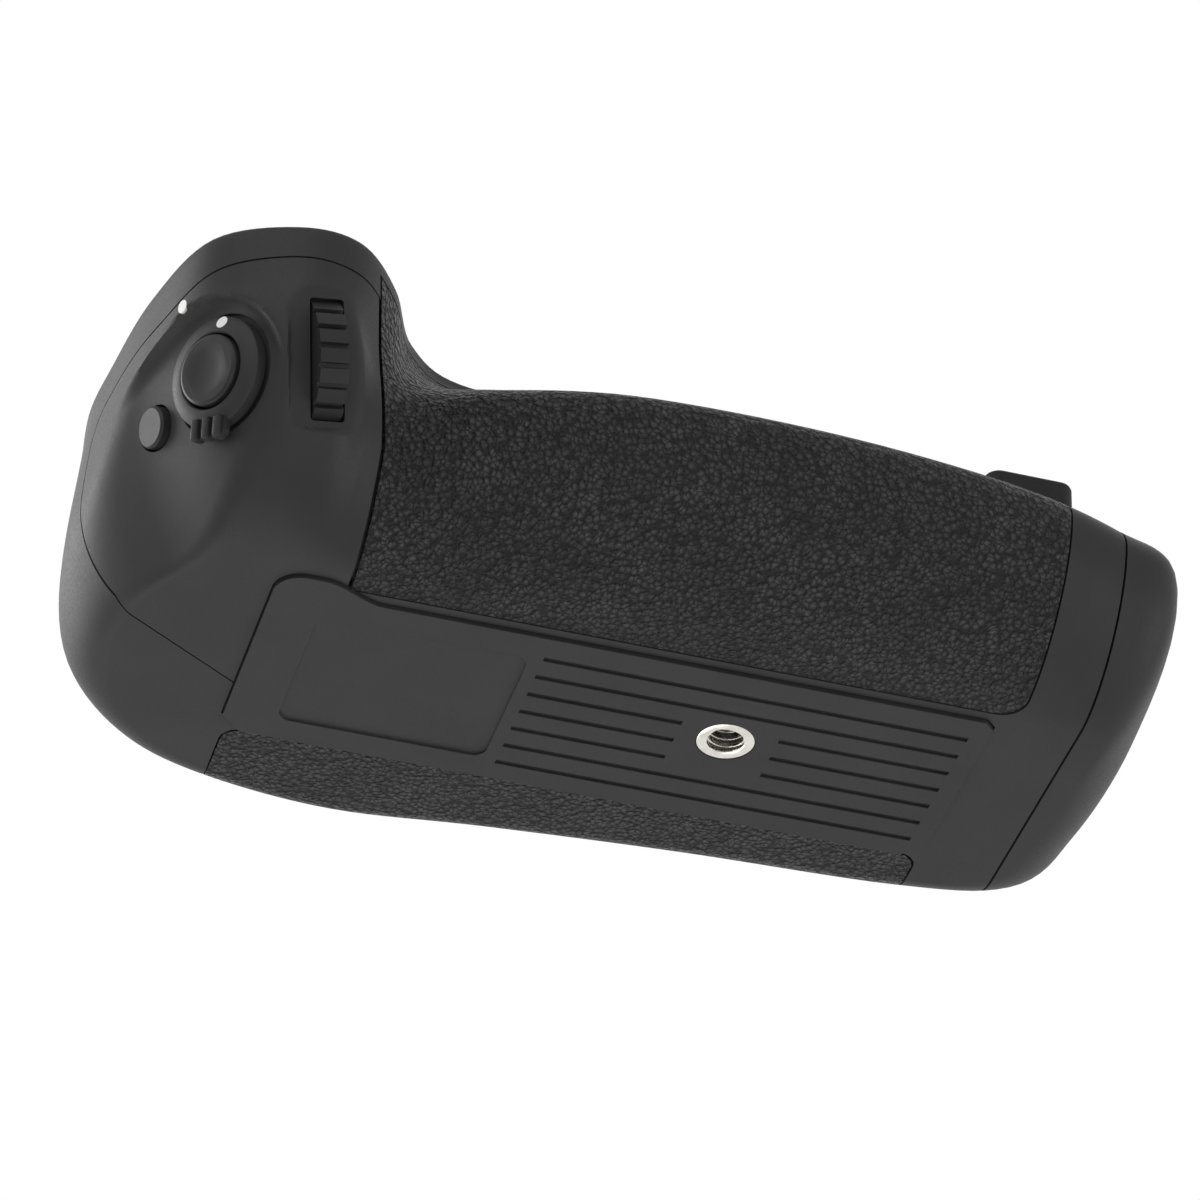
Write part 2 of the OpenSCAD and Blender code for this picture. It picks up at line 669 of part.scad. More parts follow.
module attachment_wheel() color(dark_c) translate(wheel_at) difference() {
    union() {
        translate([0, 0, gear_z]) gear(wheel_turn);
        tube(5, wheel_z - gear_z, gear_z);
        translate([0, 0, wheel_z]) linear_extrude(wheel_t)
            polygon([for (i = [0 : 119]) (wheel_r - (i % 2 == 0 ? 0 : 0.4)) * [cos(i * 3), sin(i * 3)]]);
    }
    tube(pin_r + fit, 20, gear_z - 5);
}

module idler_gear() color(metal_c) translate(idler_at) difference() {
    translate([0, 0, gear_z]) gear(idler_turn);
    tube(pin_r + fit, 20, gear_z - 5);
}

module camera_screw() color(metal_c) {
    translate([0, 0, gear_z]) gear(0);
    tube(pin_r, 2, sleeve_z[1] - sleeve_t + 0.1);
    tube(journal_r + 1.2, ledge_z - gap - gear_z, gear_z);
    tube(journal_r, deck_h - gear_z, gear_z);
    tube(screw_r, screw_up, deck_h);
}

// Deck fittings

module connector_post() color(dark_c) round_block(post_x, post_y, [deck_h, deck_h + post_h], 1.5);

module connector_pins() color(gold_c) for (i = [0 : 4], y = [-13.4, -10.2])
    translate([post_x[0] + 1.9 + i * 1.75, y, deck_h + post_h]) cylinder(r = 0.45, h = 0.5);

module contact_cap() color(rubber_c) {
    out_x = post_x + [-gap - cap_t, gap + cap_t];
    out_y = post_y + [-gap - cap_t, gap + cap_t];
    difference() {
        round_block(out_x, out_y, [deck_h + 0.1, deck_h + post_h + 1 + cap_t], 2.2);
        round_block(post_x + [-gap, gap], post_y + [-gap, gap], [deck_h, deck_h + post_h + 1], 1.6);
    }
}

module locating_pins() color(metal_c) for (p = [[-42, 10], [42, 12]]) translate(p) tube(2, 3, deck_h);

module deck_screws() color(metal_c) for (i = screw_rings) translate(screw_at(i)) difference() {
    union() {
        tube(1.9, 0.9, deck_h - 1.1);
        tube(1, 4, deck_h - 4.9);
    }
    for (a = [0, 90]) rotate(a) block([-1.2, 1.2], [-0.25, 0.25], [deck_h - 0.6, deck_h]);
}

// Battery tray

module battery_tray() color(dark_c) difference() {
    union() {
        block([tray_in, cap_x + gap], tray_y, tray_z);
        merged() intersection() {
            loft(wall + 0.4);
            block([cap_x + gap, cap_x + gap + end_plate_t], [-big, big], [0, tray_end_z]);
        }
    }
    block([cap_x - 2 - cell_l, cap_x - 2], [-cell_w / 2 + 0.4, cell_w / 2 + 0.4], [tray_z[0] + tray_t, big]);
    along_x(40, latch_y, latch_z, shaft_r + 1, 20);
}

module tray_cap() color(shell_c) difference() {
    merged() difference() {
        intersection() {
            loft(0);
            cap_region(gap);
        }
        intersection() {
            loft(wall);
            cap_region(-1);
        }
    }
    along_x(knob_x - gap, latch_y, latch_z, knob_r + gap, 20);
    along_x(50, latch_y, latch_z, shaft_r + fit, 20);
}

module tray_contacts() color(gold_c) for (y = contact_y)
    block([tray_in - 0.4, tray_in], [y - 1.8, y + 1.8], contact_z + [-0.5, 0.5]);

module latch_knob() color(dark_c) difference() {
    union() {
        along_x(knob_x, latch_y, latch_z, knob_r, knob_t);
        along_x(lug_x[1], latch_y, latch_z, shaft_r, knob_x - lug_x[1]);
    }
    for (s = [-1, 1]) along_x(knob_x + 0.6, latch_y, latch_z + s * 8.2, 6, 4);
}

module latch_lug() color(metal_c) {
    along_x(lug_x[0], latch_y, latch_z, shaft_r + 1.2, lug_x[1] - lug_x[0]);
    block(lug_x, [latch_y - lug_len, latch_y], [latch_z - 2.4, latch_z + 2.4]);
}

module latch_striker() color(metal_c) {
    y = [latch_y - 5, latch_y + 5];
    block([cap_x, cap_x + striker_t], y, striker_z);
    block([cap_x, lug_x[1] + 0.4 + striker_t], y, [striker_z[1] - striker_t, striker_z[1]]);
    block([lug_x[1] + 0.4, lug_x[1] + 0.4 + striker_t], y, [gear_z - 0.8, striker_z[1]]);
}

main_shell();
head_cover();
top_deck();
bottom_plate();
tripod_socket();
front_grip_rubber();
rear_grip_rubber();
chamber_sleeve();
chamber_contacts();
main_board();
control_board();
shutter_switch();
function_switch();
shutter_button();
lock_collar();
collar_clip();
function_button();
front_dial_axle();
front_dial();
rear_board();
rear_dial_axle();
rear_dial();
focus_switch();
focus_button();
selector_base();
selector_rocker();
selector_pad();
gear_axles();
attachment_wheel();
idler_gear();
camera_screw();
connector_post();
connector_pins();
contact_cap();
locating_pins();
deck_screws();
battery_tray();
tray_cap();
tray_contacts();
latch_knob();
latch_lug();
latch_striker();
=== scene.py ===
import math

import bmesh
import bpy
from mathutils import Matrix, Vector


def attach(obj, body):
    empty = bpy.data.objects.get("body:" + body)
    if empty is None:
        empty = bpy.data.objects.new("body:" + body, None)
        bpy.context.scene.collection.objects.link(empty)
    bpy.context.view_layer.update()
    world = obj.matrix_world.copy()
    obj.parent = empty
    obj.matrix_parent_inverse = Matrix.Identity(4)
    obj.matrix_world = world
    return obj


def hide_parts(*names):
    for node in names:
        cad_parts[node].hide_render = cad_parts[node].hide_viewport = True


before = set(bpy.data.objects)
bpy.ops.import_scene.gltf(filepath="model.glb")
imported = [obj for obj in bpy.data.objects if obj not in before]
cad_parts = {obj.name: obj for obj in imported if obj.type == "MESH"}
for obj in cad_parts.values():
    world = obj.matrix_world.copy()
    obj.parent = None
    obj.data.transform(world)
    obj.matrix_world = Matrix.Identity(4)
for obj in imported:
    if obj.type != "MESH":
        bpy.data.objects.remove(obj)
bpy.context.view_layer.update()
scene = bpy.context.scene
MM = 0.001

# Body form, the same rows as the solids, in millimetres: x and y of the bottom edge, of the widest
# line and of the top edge, then the widest line's height
BODY_ROWS = [
    (34, 25.2, 34, 31, 34, 29.8, 6),
    (2, 27.2, 2, 32.6, 2, 31.8, 6),
    (-26, 29.6, -26, 35.2, -26, 33.8, 6),
    (-48, 32.3, -48, 37.7, -48, 34.8, 6),
    (-66, 30, -67, 35.2, -67, 33.6, 6),
    (-77, 25, -80.5, 30.2, -80, 29.6, 7.5),
    (-84, 16, -90.6, 19.6, -89.6, 19.4, 10),
    (-86, 4, -94.3, 5, -93, 4, 14),
    (-83.5, -8, -93.2, -9, -92.2, -9.5, 18),
    (-78, -17, -89.8, -25, -90, -25.2, 24),
    (-73, -19.8, -84, -38.5, -85, -39.6, 27),
    (-69, -20.2, -74, -45.5, -74.3, -45.7, 28),
    (-66, -20.2, -66.2, -44.2, -65.4, -44.9, 26),
    (-62.5, -19.8, -60.6, -37.6, -58.7, -37, 21),
    (-57.5, -18.5, -54.5, -35, -53.6, -26, 19),
    (-48, -16.6, -44, -38.2, -45, -19.8, 21),
    (-26, -16.6, -26, -43.1, -26, -19.4, 21.2),
    (2, -16.6, 2, -44.4, 2, -19.4, 20.5),
    (28, -16.6, 29, -41.6, 28, -19.4, 20),
    (44, -16.6, 46, -36.8, 45, -18.8, 19),
    (50, -14, 56, -31, 55.4, -14, 17.5),
    (50, -2, 58, -8, 57.4, -2, 10),
    (49.4, 12, 57.4, 14, 57, 13, 9),
    (46, 21.8, 52.8, 26.6, 52, 25, 7),
]
ROWS = len(BODY_ROWS)
# Heights and walls
DECK_H, LEDGE_Z, PLATE_RAISE, PLATE_T = 38, 36, 0.6, 2
WALL, RUBBER_T, RIM_W, EDGE_R = 3.2, 1.2, 2, 0.8
# How full the skin bulges below and above its widest line
NOSE_FULL, CROWN_FULL = 0.47, 0.3
# Seam between fixed pieces, room round a fixed insert, gap round a moving piece, and past everything
SEAM, FIT, GAP, FAR = 0.28, 0.2, 0.35, 200


def body_row(u):
    """Catmull-Rom through the rows; u counts rows round the body."""
    i, t = int(math.floor(u)), u - math.floor(u)
    a, b, c, d = (BODY_ROWS[(i + k) % ROWS] for k in (-1, 0, 1, 2))
    return [q + 0.5 * t * (r - p + t * (2 * p - 5 * q + 4 * r - s + t * (3 * q - p - 3 * r + s)))
            for p, q, r, s in zip(a, b, c, d)]


def outward(u, line):
    """Level direction out of the body across one of its three lines."""
    before, after = body_row(u - 0.25), body_row(u + 0.25)
    x, y = (after[2 * line + k] - before[2 * line + k] for k in (0, 1))
    return Vector((y, -x, 0)).normalized()


def bezier(a, b, c, d, t):
    """Point at t of a cubic curve with these four control points."""
    return a * (1 - t) ** 3 + b * 3 * t * (1 - t) ** 2 + c * 3 * t * t * (1 - t) + d * t ** 3


def skin(u, v, inset=0):
    """Point of the body's skin: v 0 to 1 from the bottom edge to the widest line, 1 to 2 on to the
    top edge, 2 to 3 round that edge; drawn in by inset."""
    r = body_row(u)
    low, wide = Vector((r[0], r[1], PLATE_RAISE)), Vector((r[2], r[3], r[6]))
    top = Vector((r[4], r[5], DECK_H - EDGE_R))
    out = outward(u, 1)
    if v <= 1:
        flat, up = wide - low, Vector((0, 0, wide.z - low.z))
        flat.z = 0
        p = bezier(low, low + flat * NOSE_FULL, wide - up * NOSE_FULL, wide, v)
        out = outward(u, 0).lerp(out, v).normalized()
    elif v <= 2:
        up = Vector((0, 0, top.z - wide.z)) * CROWN_FULL
        p = bezier(wide, wide + up, top - up, top, v - 1)
    else:
        a = (v - 2) * math.pi / 2
        p = top + Vector((0, 0, EDGE_R * math.sin(a))) - out * EDGE_R * (1 - math.cos(a))
    squeeze = (DECK_H - PLATE_RAISE - 2 * inset) / (DECK_H - PLATE_RAISE)
    p -= out * inset
    p.z = PLATE_RAISE + inset + (p.z - PLATE_RAISE) * squeeze
    return p


# Local frames, as in the solids
def local_frame(at, dip, turn, spin=0):
    """Frame on the head with +Z out of its surface and +X down it."""
    return (Matrix.Translation(at) @ Matrix.Rotation(math.radians(turn), 4, "Z")
            @ Matrix.Rotation(math.radians(90 + dip), 4, "Y") @ Matrix.Rotation(math.radians(spin), 4, "Z"))


FACET = local_frame((-81.6, -34, 19.3), 15, 213)
FACET_BACK = FACET.inverted()
FACET_BOW, FACET_T, FACET_REACH, FACET_SOFT = 58, 2.4, 14, 1.3
FUNCTION = (FACET @ Matrix.Translation((0, 0, -FACET_BOW)) @ Matrix.Rotation(math.radians(13.66), 4, "X")
            @ Matrix.Rotation(math.radians(1.58), 4, "Y") @ Matrix.Translation((0, 0, FACET_BOW)))
DIAL = local_frame((-68.1, -43.1, 18.5), 24, 281, 14)
DIAL_BACK = DIAL.inverted()
DIAL_R, DIAL_W, DIAL_IN = 10.6, 4.2, 9.4
COLLAR_R, SLEEVE_R, COLLAR_BORE, FUNCTION_R = 7.85, 6.55, 5.35, 2.95
# The scoop that the facet lies in: x, y and radius of the corners of its floor, its wall's fillet and
# slope, and how far its floor falls at the sides
SCOOP = [(2.5, -1.5, 10.4), (8, -26, 10), (36, -14, 12)]
SCOOP_ROUND, SCOOP_SLOPE, SIDE_FALL, SIDE_REACH = 3, 4, 0.95, 18
# The dish round the dial: half length, half width, corner, depth, and its lip's width, slope and softness
DISH_X, DISH_Y, DISH_R, DISH_DEPTH = 10.3, 6.2, 3, 1.9
LIP_W, LIP_SLOPE, LIP_SOFT = 0.9, 1.7, 0.7


def soft_min(a, b, width):
    """The lesser of two heights, rounded over width where they cross."""
    h = max(width - abs(a - b), 0) / width
    return min(a, b) - h * h * width / 4


def scoop_edge(x, y):
    """How far (x, y) lies outside the scoop's floor, which three circles and their tangents bound."""
    nearest, inside = FAR, True
    for (ax, ay, ar), (bx, by, br) in zip(SCOOP, SCOOP[1:] + SCOOP[:1]):
        wx, wy, px, py = bx - ax, by - ay, x - ax, y - ay
        t = min(max((px * wx + py * wy) / (wx * wx + wy * wy), 0), 1)
        nearest = min(nearest, math.hypot(px - wx * t, py - wy * t) - ar - (br - ar) * t)
        inside = inside and wx * py - wy * px > 0
    return 0 if inside else max(nearest, 0)


def facet_height(x, y):
    """Highest that the skin may stand over the shutter facet: a bowed floor in a rounded scoop."""
    edge, turn = scoop_edge(x, y), 0.95 * SCOOP_ROUND
    fillet = SCOOP_ROUND - math.sqrt(SCOOP_ROUND ** 2 - min(edge, turn) ** 2)
    wall = fillet + SCOOP_SLOPE * max(edge - turn, 0)
    side = SIDE_FALL * (1 - math.cos(math.pi * min(abs(y) / SIDE_REACH, 1)))
    return math.sqrt(max(FACET_BOW ** 2 - x * x, 0)) - FACET_BOW - side + wall


def dial_height(x, y):
    """Highest that the skin may stand round the front dial: a shallow dish with a rounded outline."""
    qx, qy = abs(x) - DISH_X + DISH_R, abs(y) - DISH_Y + DISH_R
    edge = math.hypot(max(qx, 0), max(qy, 0)) + min(max(qx, qy), 0) - DISH_R
    return max(edge + LIP_W, 0) * LIP_SLOPE - DISH_DEPTH


def head_form(p):
    """The skin pressed in at the shutter facet and at the dial."""
    q = FACET_BACK @ p
    if q.z > -FACET_REACH:
        q.z = soft_min(q.z, facet_height(q.x, q.y), FACET_SOFT)
        p = FACET @ q
    q = DIAL_BACK @ p
    if abs(q.x) < 14 and abs(q.y) < 9 and q.z > -8:
        q.z = soft_min(q.z, dial_height(q.x, q.y), LIP_SOFT)
        p = DIAL @ q
    return p


# Making pieces
def linear(code):
    """sRGB hex to linear RGBA."""
    parts = [int(code[i:i + 2], 16) / 255 for i in (1, 3, 5)]
    return [c / 12.92 if c <= 0.04045 else ((c + 0.055) / 1.055) ** 2.4 for c in parts] + [1]


def new_piece(name, bm):
    """A finished bmesh as an object, with millimetres turned to metres."""
    bmesh.ops.scale(bm, vec=(MM,) * 3, verts=bm.verts)
    mesh = bpy.data.meshes.new(name)
    bm.to_mesh(mesh)
    bm.free()
    piece = bpy.data.objects.new(name, mesh)
    scene.collection.objects.link(piece)
    return piece


def loft(name, rows, heights, inset=0, form=None):
    """Closed body skin on the given places round and up the body."""
    bm = bmesh.new()
    n, m = len(rows), len(heights) - 1
    bmesh.ops.create_grid(bm, x_segments=n, y_segments=m, size=1)
    for v in bm.verts:
        i, k = round((v.co.x + 1) / 2 * n), round((v.co.y + 1) / 2 * m)
        p = skin(rows[i % n], heights[k], inset)
        v.co = form(p) if form else p
    bmesh.ops.remove_doubles(bm, verts=bm.verts, dist=1e-5)
    bmesh.ops.holes_fill(bm, edges=bm.edges[:], sides=0)
    bmesh.ops.recalc_face_normals(bm, faces=bm.faces)
    return new_piece(name, bm)


def spread(start, stop, count):
    """Even steps from start, up to but without stop."""
    return [start + (stop - start) * i / count for i in range(count)]


def levels(low, up, edge):
    """Places up the skin, with a count for each of its three stretches."""
    return spread(0, 1, low) + spread(1, 2, up) + spread(2, 3, edge) + [3]


def prism(name, outline, z0, z1, at=None):
    """Flat outline raised from z0 to z1 in a local frame."""
    bm = bmesh.new()
    face = bm.faces.new([bm.verts.new((x, y, z0)) for x, y in outline])
    raised = bmesh.ops.extrude_face_region(bm, geom=[face])["geom"]
    top = [g for g in raised if isinstance(g, bmesh.types.BMVert)]
    bmesh.ops.translate(bm, vec=(0, 0, z1 - z0), verts=top)
    if at:
        bmesh.ops.transform(bm, matrix=at, verts=bm.verts)
    bmesh.ops.recalc_face_normals(bm, faces=bm.faces)
    return new_piece(name, bm)


def block(name, low, high, at=None, round_edges=None, radius=1):
    """Box between two corners; round_edges picks the edges to round by their middle and direction."""
    bm = bmesh.new()
    bmesh.ops.create_cube(bm, size=1)
    size = [b - a for a, b in zip(low, high)]
    bmesh.ops.scale(bm, vec=size, verts=bm.verts)
    bmesh.ops.translate(bm, vec=[(a + b) / 2 for a, b in zip(low, high)], verts=bm.verts)
    if round_edges:
        chosen = [e for e in bm.edges if round_edges((e.verts[0].co + e.verts[1].co) / 2,
                                                     e.verts[1].co - e.verts[0].co)]
        bmesh.ops.bevel(bm, geom=chosen, offset=radius, offset_type="OFFSET", segments=10, profile=0.5,
                        affect="EDGES", material=-1)
    if at:
        bmesh.ops.transform(bm, matrix=at, verts=bm.verts)
    return new_piece(name, bm)


def drum(name, radius, z0, z1, at=None, sides=96):
    """Cylinder from z0 to z1 in a local frame."""
    bm = bmesh.new()
    bmesh.ops.create_cone(bm, cap_ends=True, segments=sides, radius1=radius, radius2=radius, depth=z1 - z0)
    bmesh.ops.translate(bm, vec=(0, 0, (z0 + z1) / 2), verts=bm.verts)
    if at:
        bmesh.ops.transform(bm, matrix=at, verts=bm.verts)
    return new_piece(name, bm)


def ball(name, radius, at):
    """Sphere about the origin of a local frame."""
    bm = bmesh.new()
    bmesh.ops.create_uvsphere(bm, u_segments=96, v_segments=64, radius=radius)
    bmesh.ops.transform(bm, matrix=at, verts=bm.verts)
    return new_piece(name, bm)


def closed_outline(bm, profile):
    """Vertices and edges of a closed outline of radius and height."""
    points = [bm.verts.new((r, 0, z)) for r, z in profile]
    return points + [bm.edges.new((a, b)) for a, b in zip(points, points[1:] + points[:1])]


def turned_ring(name, profile, at, steps=96):
    """Closed outline spun about a local axis."""
    bm = bmesh.new()
    bmesh.ops.spin(bm, geom=closed_outline(bm, profile), cent=(0, 0, 0), axis=(0, 0, 1),
                   angle=2 * math.pi, steps=steps, use_merge=True)
    bmesh.ops.recalc_face_normals(bm, faces=bm.faces)
    bmesh.ops.transform(bm, matrix=at, verts=bm.verts)
    return new_piece(name, bm)


# Quarter-inch thread, 20 to the inch, and the width of its groove
THREAD_PITCH, GROOVE_W = 1.27, 1.04


def thread_groove(name, tip, mouth, z0, turns, steps=40):
    """Groove of a thread from radius mouth to radius tip, wound up from z0 about the socket's axis."""
    bm = bmesh.new()
    profile = [(tip, z0), (mouth, z0 + GROOVE_W / 2), (mouth, z0 - GROOVE_W / 2)]
    bmesh.ops.spin(bm, geom=closed_outline(bm, profile), cent=(0, 0, 0), axis=(0, 0, 1),
                   angle=2 * math.pi * turns, steps=steps * turns, dvec=(0, 0, THREAD_PITCH / steps))
    bmesh.ops.holes_fill(bm, edges=bm.edges[:], sides=0)
    bmesh.ops.recalc_face_normals(bm, faces=bm.faces)
    return new_piece(name, bm)


def carve(piece, tool, operation="DIFFERENCE"):
    """Boolean of one closed mesh with another, which is used up."""
    cut = piece.modifiers.new("cut", "BOOLEAN")
    cut.operation, cut.solver, cut.object = operation, "MANIFOLD", tool
    bpy.context.view_layer.update()
    made = bpy.data.meshes.new_from_object(piece.evaluated_get(bpy.context.evaluated_depsgraph_get()))
    piece.modifiers.clear()
    piece.data = made
    bpy.data.objects.remove(tool)
    return piece


def carve_all(piece, *tools):
    """Cuts each tool out of a piece in turn."""
    for tool in tools:
        carve(piece, tool)
    return piece


def smooth(piece, angle=35):
    """Smooth shading, with edges sharper than angle kept."""
    bm = bmesh.new()
    bm.from_mesh(piece.data)
    bmesh.ops.remove_doubles(bm, verts=bm.verts, dist=1e-7)
    for f in bm.faces:
        f.smooth = True
    for e in bm.edges:
        e.smooth = len(e.link_faces) == 2 and e.calc_face_angle(math.pi) < math.radians(angle)
    bm.to_mesh(piece.data)
    bm.free()
    return piece


def paint(piece, material):
    """Gives a piece one material in place of what it has."""
    piece.data.materials.clear()
    piece.data.materials.append(material)


def place(piece, body, slot, material, *nodes):
    """Gives a piece its finish and its body, and hides the solids that it stands for."""
    paint(piece, material)
    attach(piece, body)
    if nodes:
        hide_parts(*nodes)
    return piece


def eased_copy(node, body, slot, material, radius, angle=40):
    """A copy of a solid with its edges rounded, in place of it."""
    piece = bpy.data.objects.new(node + "_finished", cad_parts[node].data.copy())
    scene.collection.objects.link(piece)
    bm = bmesh.new()
    bm.from_mesh(piece.data)
    bmesh.ops.remove_doubles(bm, verts=bm.verts, dist=2e-6)
    bmesh.ops.dissolve_limit(bm, angle_limit=math.radians(2), verts=bm.verts, edges=bm.edges)
    bm.to_mesh(piece.data)
    bm.free()
    smooth(piece, angle)
    bevel = piece.modifiers.new("eased edges", "BEVEL")
    bevel.width, bevel.segments = radius * MM, 2
    bevel.limit_method, bevel.angle_limit = "ANGLE", math.radians(angle)
    return place(piece, body, slot, material, node)


# Materials
def add(tree, kind, inputs=None, **settings):
    """Adds a node with its settings, and its inputs as values or links."""
    made = tree.nodes.new(kind)
    for key, value in settings.items():
        setattr(made, key, value)
    for key, value in (inputs or {}).items():
        if isinstance(value, bpy.types.NodeSocket):
            tree.links.new(value, made.inputs[key])
        else:
            made.inputs[key].default_value = value
    return made


def new_material(name):
    """Empty material: its tree, its shader and its place in millimetres."""
    made = bpy.data.materials.new(name)
    made.use_nodes = True
    tree = made.node_tree
    tree.nodes.clear()
    shader = add(tree, "ShaderNodeBsdfPrincipled")
    add(tree, "ShaderNodeOutputMaterial", {"Surface": shader.outputs[0]})
    where = add(tree, "ShaderNodeTexCoord").outputs["Object"]
    in_mm = add(tree, "ShaderNodeVectorMath", {0: where, "Scale": 1 / MM}, operation="SCALE").outputs[0]
    return made, tree, shader, in_mm


def ramp(tree, value, low, high, from_min=0.0, from_max=1.0):
    """Blend of two colours or numbers by a value."""
    span = {"Value": value, "From Min": from_min, "From Max": from_max}
    share = add(tree, "ShaderNodeMapRange", span).outputs[0]
    if isinstance(low, str):
        ends = {0: share, 6: linear(low), 7: linear(high)}
        return add(tree, "ShaderNodeMix", ends, data_type="RGBA").outputs[2]
    return add(tree, "ShaderNodeMapRange", {"Value": share, "To Min": low, "To Max": high}).outputs[0]


def moulded_plastic(name, low, high, rough=(0.42, 0.56), grain_mm=0.32, depth_mm=0.012):
    """Moulded polycarbonate from a spark-textured tool: a fine even grain that scatters the light."""
    made, tree, shader, at = new_material(name)
    cloud = add(tree, "ShaderNodeTexNoise", {"Vector": at, "Scale": 1 / 14, "Detail": 3.0}).outputs[0]
    grain = add(tree, "ShaderNodeTexNoise", {"Vector": at, "Scale": 1 / grain_mm, "Detail": 2.0}).outputs[0]
    tree.links.new(ramp(tree, cloud, low, high, 0.3, 0.7), shader.inputs["Base Color"])
    tree.links.new(ramp(tree, grain, *rough, 0.3, 0.7), shader.inputs["Roughness"])
    bump = add(tree, "ShaderNodeBump", {"Height": grain, "Distance": depth_mm * MM, "Strength": 1.0})
    tree.links.new(bump.outputs[0], shader.inputs["Normal"])
    shader.inputs["Specular IOR Level"].default_value = 0.16
    return made


def leather_rubber(name):
    """Moulded thermoplastic rubber with a leather grain: rounded pebbles a little under a millimetre
    across between fine creases, dull in the creases and worn shinier on top."""
    made, tree, shader, at = new_material(name)
    bend = add(tree, "ShaderNodeTexNoise", {"Vector": at, "Scale": 1 / 2.2, "Detail": 2.0}).outputs["Color"]
    bent = add(tree, "ShaderNodeVectorMath", {0: bend, 1: (1.1, 1.1, 1.1), 2: at}, operation="MULTIPLY_ADD")
    pebbles = {"Vector": bent.outputs[0], "Randomness": 1.0, "Scale": 1 / 0.85}
    specks = {**pebbles, "Scale": 1 / 0.45}
    near = add(tree, "ShaderNodeTexVoronoi", pebbles, feature="F1").outputs[0]
    crease = add(tree, "ShaderNodeTexVoronoi", pebbles, feature="DISTANCE_TO_EDGE").outputs[0]
    fine = add(tree, "ShaderNodeTexVoronoi", specks, feature="F1").outputs[0]
    pebble = ramp(tree, near, 1.0, 0.0, 0.1, 0.75)
    small = ramp(tree, fine, 0.4, 0.0, 0.1, 0.75)
    height = add(tree, "ShaderNodeMath", {0: pebble, 1: small}, operation="ADD").outputs[0]
    cloud = add(tree, "ShaderNodeTexNoise", {"Vector": at, "Scale": 1 / 9, "Detail": 3.0}).outputs[0]
    worn = ramp(tree, cloud, "#414140", "#555554", 0.35, 0.65)
    # Painted shade: the colour falls to near black into the creases and down each pebble's sides, where shade
    # lies between the pebbles
    painted_crease_shade = ramp(tree, crease, 0.0, 1.0, 0.0, 0.12)
    tone = add(tree, "ShaderNodeMath", {0: painted_crease_shade, 1: pebble}, operation="MULTIPLY").outputs[0]
    colour = add(tree, "ShaderNodeMix", {0: tone, 6: linear("#121212"), 7: worn}, data_type="RGBA").outputs[2]
    tree.links.new(colour, shader.inputs["Base Color"])
    tree.links.new(ramp(tree, height, 0.55, 0.3, 0.0, 1.3), shader.inputs["Roughness"])
    bump = add(tree, "ShaderNodeBump", {"Height": height, "Distance": 0.9 * MM, "Strength": 1.0})
    tree.links.new(bump.outputs[0], shader.inputs["Normal"])
    shader.inputs["Specular IOR Level"].default_value = 0.2
    return made


def plated_metal(name, low, high, rough=(0.14, 0.3), scratch_mm=0.25):
    """Turned or stamped metal with a plated finish: bright, with faint handling marks."""
    made, tree, shader, at = new_material(name)
    marks = add(tree, "ShaderNodeTexNoise", {"Vector": at, "Scale": 1 / scratch_mm, "Detail": 4.0}).outputs[0]
    tone = add(tree, "ShaderNodeTexNoise", {"Vector": at, "Scale": 1 / 2.5, "Detail": 2.0}).outputs[0]
    tree.links.new(ramp(tree, tone, low, high, 0.35, 0.65), shader.inputs["Base Color"])
    tree.links.new(ramp(tree, marks, *rough, 0.3, 0.7), shader.inputs["Roughness"])
    shader.inputs["Metallic"].default_value = 1.0
    return made


def printed_paint(name, low, high):
    """Pad-printed paint: a thin even film, faintly mottled."""
    made, tree, shader, at = new_material(name)
    mottle = add(tree, "ShaderNodeTexNoise", {"Vector": at, "Scale": 1 / 0.4, "Detail": 2.0}).outputs[0]
    tree.links.new(ramp(tree, mottle, low, high, 0.3, 0.7), shader.inputs["Base Color"])
    shader.inputs["Roughness"].default_value = 0.5
    return made


def circuit_laminate(name):
    """Glass-fibre laminate under solder mask: glossy, with a faint weave showing through."""
    made, tree, shader, at = new_material(name)
    weave = add(tree, "ShaderNodeTexWave", {"Vector": at, "Scale": 1 / 2.0, "Distortion": 1.5}).outputs[0]
    tree.links.new(ramp(tree, weave, "#173a24", "#1f4a2e"), shader.inputs["Base Color"])
    shader.inputs["Roughness"].default_value = 0.32
    return made


SHELL = moulded_plastic("satin_shell_plastic", "#2f2f30", "#353536")
BUTTON = moulded_plastic("smooth_button_plastic", "#2a2a2b", "#2f2f30", rough=(0.34, 0.46), depth_mm=0.006)
INNER = moulded_plastic("black_inner_plastic", "#1c1c1d", "#232324", rough=(0.4, 0.6))
LEATHER = leather_rubber("leather_grain_rubber")
CAP_RUBBER = moulded_plastic("soft_cap_rubber", "#1d1d1d", "#262625", rough=(0.55, 0.7), depth_mm=0.02)
NICKEL = plated_metal("bright_nickel", "#cdc9c0", "#dedbd4")
STEEL = plated_metal("stamped_steel", "#9a9a98", "#b0afac", rough=(0.25, 0.42))
GOLD = plated_metal("gold_plate", "#c79a45", "#dbb465")
WHITE = printed_paint("white_print", "#f1f1ee", "#fafaf8")
BOARD = circuit_laminate("green_laminate")

